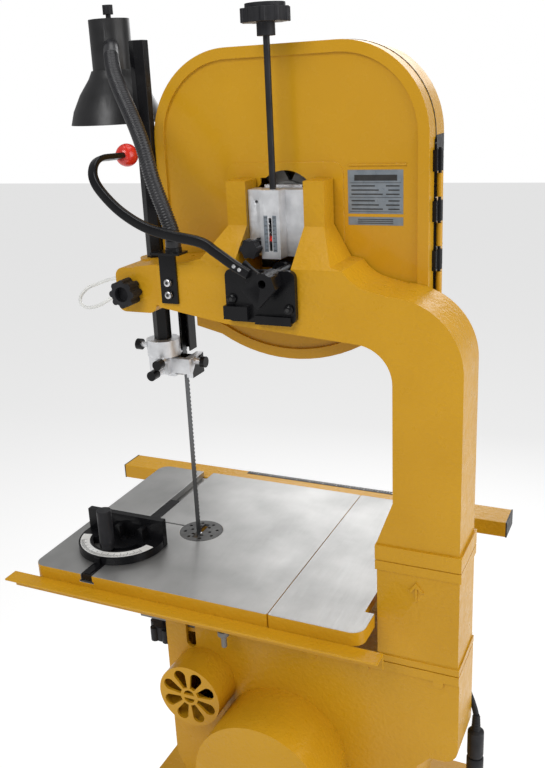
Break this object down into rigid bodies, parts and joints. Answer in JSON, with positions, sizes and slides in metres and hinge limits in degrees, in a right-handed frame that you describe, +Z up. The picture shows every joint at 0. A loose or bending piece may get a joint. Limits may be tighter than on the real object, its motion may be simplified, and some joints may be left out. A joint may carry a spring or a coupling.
{
  "type": "band saw",
  "caption": "Vertical band saw on a closed stand with a riser block, tilting table with mitre gauge, quick tension release and a flexible work lamp.",
  "frame": {"origin": "centre of the stand's footprint, on the floor", "axes": "+Z up, -Y towards the operator, +X from the column towards the blade"},
  "size_m": [0.735, 0.481, 1.89],
  "materials": {
    "yellow_paint": "gloss",
    "black_metal": "satin",
    "cast_iron": "satin",
    "steel": "satin",
    "aluminium": "satin",
    "black_plastic": "matte",
    "red_plastic": "gloss",
    "green_plastic": "gloss",
    "rubber": "matte",
    "clear_plastic": "gloss"
  },
  "bodies": {
    "frame": {"upper_frame": "yellow_paint", "riser_block": "yellow_paint", "lower_frame": "yellow_paint", "fixings": "steel", "upper_guard": "yellow_paint", "return_guard": "yellow_paint", "power_lead": "rubber", "air_tube": "clear_plastic", "release_plate": "black_metal", "lower_bearings": "steel", "drive_belt": "rubber", "motor": "black_metal", "saw_blade": "steel", "lower_guide": "steel", "trunnion_bracket": "cast_iron", "stand": "yellow_paint", "switch_box": "black_plastic", "lamp_bracket": "black_metal", "lamp_arm": "black_metal", "lamp_head": "black_metal"},
    "upper_door_leaf": {"upper_door": "yellow_paint"},
    "upper_door_knob": {"upper_latch": "black_plastic"},
    "lower_door_leaf": {"lower_door": "yellow_paint"},
    "lower_door_knob": {"lower_latch": "black_plastic"},
    "slide": {"wheel_slide": "cast_iron", "tension_spring": "steel"},
    "hinge_block": {"wheel_hinge": "steel"},
    "tension_rod": {"tension_screw": "black_metal"},
    "tension_mark": {"tension_pointer": "red_plastic"},
    "tracking_screw": {"tracking_knob": "black_plastic"},
    "release_arm": {"release_hub": "black_metal", "release_lever": "black_metal", "release_ball": "red_plastic"},
    "top_wheel": {"upper_wheel": "cast_iron", "upper_tyre": "rubber", "upper_bearings": "steel"},
    "drive_wheel": {"lower_wheel": "cast_iron", "lower_tyre": "rubber", "lower_shaft": "steel"},
    "motor_drive": {"motor_pulley": "aluminium"},
    "post": {"guide_post": "black_metal", "blade_guard": "black_metal", "guide_bracket": "aluminium"},
    "top_thrust_roller": {"upper_back_roller": "steel"},
    "low_thrust_roller": {"lower_back_roller": "steel"},
    "post_lock": {"post_lock_knob": "black_plastic"},
    "tilting_table": {"table": "cast_iron", "table_wing": "cast_iron", "table_insert": "aluminium", "table_trunnion": "cast_iron", "front_rail": "yellow_paint", "rear_rail": "yellow_paint"},
    "tilt_lock": {"tilt_lock_knob": "black_plastic"},
    "gauge_bar": {"miter_bar": "steel"},
    "gauge_head": {"miter_head": "black_metal"},
    "gauge_handle": {"miter_handle": "black_plastic"},
    "cabinet_door": {"stand_door": "yellow_paint"},
    "start": {"start_button": "green_plastic"},
    "stop": {"stop_button": "red_plastic"},
    "lamp_knob": {"lamp_switch": "black_plastic"}
  },
  "joints": [
    {"name": "upper_door_hinge", "type": "hinge", "parent": "frame", "child": "upper_door_leaf", "pos_m": [-0.191, -0.025, 1.598], "axis": [0, 0, -1], "range_deg": [0, 120]},
    {"name": "upper_latch_turn", "type": "hinge", "parent": "upper_door_leaf", "child": "upper_door_knob", "pos_m": [0.15, -0.07, 1.74], "axis": [0, 1, 0], "range_deg": [0, 90]},
    {"name": "lower_door_hinge", "type": "hinge", "parent": "frame", "child": "lower_door_leaf", "pos_m": [-0.241, -0.025, 0.938], "axis": [0, 0, -1], "range_deg": [0, 120]},
    {"name": "lower_latch_turn", "type": "hinge", "parent": "lower_door_leaf", "child": "lower_door_knob", "pos_m": [0.15, -0.07, 0.918], "axis": [0, 1, 0], "range_deg": [0, 90]},
    {"name": "release_lever_turn", "type": "hinge", "parent": "frame", "child": "release_arm", "pos_m": [-0.018, 0.1, 1.554], "axis": [0, 1, 0], "range_deg": [0, 50]},
    {"name": "wheel_slide_move", "type": "slide", "parent": "frame", "child": "slide", "axis": [0, 0, 1], "range_m": [-0.006, 0]},
    {"name": "wheel_tilt", "type": "hinge", "parent": "slide", "child": "hinge_block", "pos_m": [0, 0.004, 1.6303], "axis": [1, 0, 0], "range_deg": [-0.52, 1.56]},
    {"name": "upper_wheel_spin", "type": "hinge", "parent": "hinge_block", "child": "top_wheel", "pos_m": [0, -0.018, 1.6303], "axis": [0, 1, 0], "continuous": true},
    {"name": "tension_screw_turn", "type": "hinge", "parent": "slide", "child": "tension_rod", "pos_m": [0, 0.042, 1.718], "axis": [0, 0, 1], "range_deg": [0, 1800]},
    {"name": "tension_pointer_move", "type": "slide", "parent": "slide", "child": "tension_mark", "axis": [0, 0, 1], "range_m": [0, 0.0101], "deforming": ["tension_spring"]},
    {"name": "tracking_knob_turn", "type": "hinge", "parent": "slide", "child": "tracking_screw", "pos_m": [0.024, 0.05, 1.584], "axis": [0, 1, 0], "range_deg": [-121, 361]},
    {"name": "lower_wheel_spin", "type": "hinge", "parent": "frame", "child": "drive_wheel", "pos_m": [0, 0, 0.856], "axis": [0, 1, 0], "continuous": true},
    {"name": "motor_spin", "type": "hinge", "parent": "frame", "child": "motor_drive", "pos_m": [0, 0.11, 0.3], "axis": [0, 1, 0], "continuous": true},
    {"name": "guide_post_move", "type": "slide", "parent": "frame", "child": "post", "axis": [0, 0, 1], "range_m": [-0.23, 0]},
    {"name": "upper_roller_spin", "type": "hinge", "parent": "post", "child": "top_thrust_roller", "pos_m": [0.178, -0.0025, 1.392], "axis": [1, 0, 0], "continuous": true},
    {"name": "lower_roller_spin", "type": "hinge", "parent": "frame", "child": "low_thrust_roller", "pos_m": [0.178, -0.0025, 1.026], "axis": [1, 0, 0], "continuous": true},
    {"name": "post_lock_turn", "type": "hinge", "parent": "frame", "child": "post_lock", "pos_m": [0.198, 0.09, 1.525], "axis": [0, 1, 0], "range_deg": [0, 90]},
    {"name": "table_tilt", "type": "hinge", "parent": "frame", "child": "tilting_table", "pos_m": [0.178, 0, 1.118], "axis": [0, 1, 0], "range_deg": [-10, 45]},
    {"name": "tilt_lock_turn", "type": "hinge", "parent": "frame", "child": "tilt_lock", "pos_m": [0.218, 0.038, 0.978], "axis": [0, 0, 1], "range_deg": [0, 120]},
    {"name": "miter_slide", "type": "slide", "parent": "tilting_table", "child": "gauge_bar", "axis": [0, 1, 0], "range_m": [-0.2, 0.05]},
    {"name": "miter_turn", "type": "hinge", "parent": "gauge_bar", "child": "gauge_head", "pos_m": [0.274, 0.05, 1.128], "axis": [0, 0, 1], "range_deg": [-60, 60]},
    {"name": "miter_handle_turn", "type": "hinge", "parent": "gauge_bar", "child": "gauge_handle", "pos_m": [0.274, 0.0905, 1.158], "axis": [0, 0, 1], "range_deg": [0, 120]},
    {"name": "stand_door_hinge", "type": "hinge", "parent": "frame", "child": "cabinet_door", "pos_m": [-0.2305, -0.2042, 0.4], "axis": [0, 0, -1], "range_deg": [0, 110]},
    {"name": "start_push", "type": "slide", "parent": "frame", "child": "start", "axis": [0, 1, 0], "range_m": [0, 0.003], "stiffness_N_per_m": 300},
    {"name": "stop_push", "type": "slide", "parent": "frame", "child": "stop", "axis": [0, 1, 0], "range_m": [0, 0.003], "stiffness_N_per_m": 300},
    {"name": "lamp_switch_turn", "type": "hinge", "parent": "frame", "child": "lamp_knob", "pos_m": [0.271, -0.04, 1.878], "axis": [0, 0, 1], "range_deg": [0, 90]}
  ],
  "couplings": [
    {"joint": "wheel_slide_move", "follows": "release_lever_turn", "m_per_rad": -0.0068},
    {"joint": "tracking_knob_turn", "follows": "wheel_tilt", "ratio": 230.9},
    {"joint": "tension_pointer_move", "follows": "tension_screw_turn", "m_per_rad": 0.00032},
    {"joint": "upper_wheel_spin", "follows": "lower_wheel_spin", "ratio": 1},
    {"joint": "motor_spin", "follows": "lower_wheel_spin", "ratio": 2.1429}
  ]
}
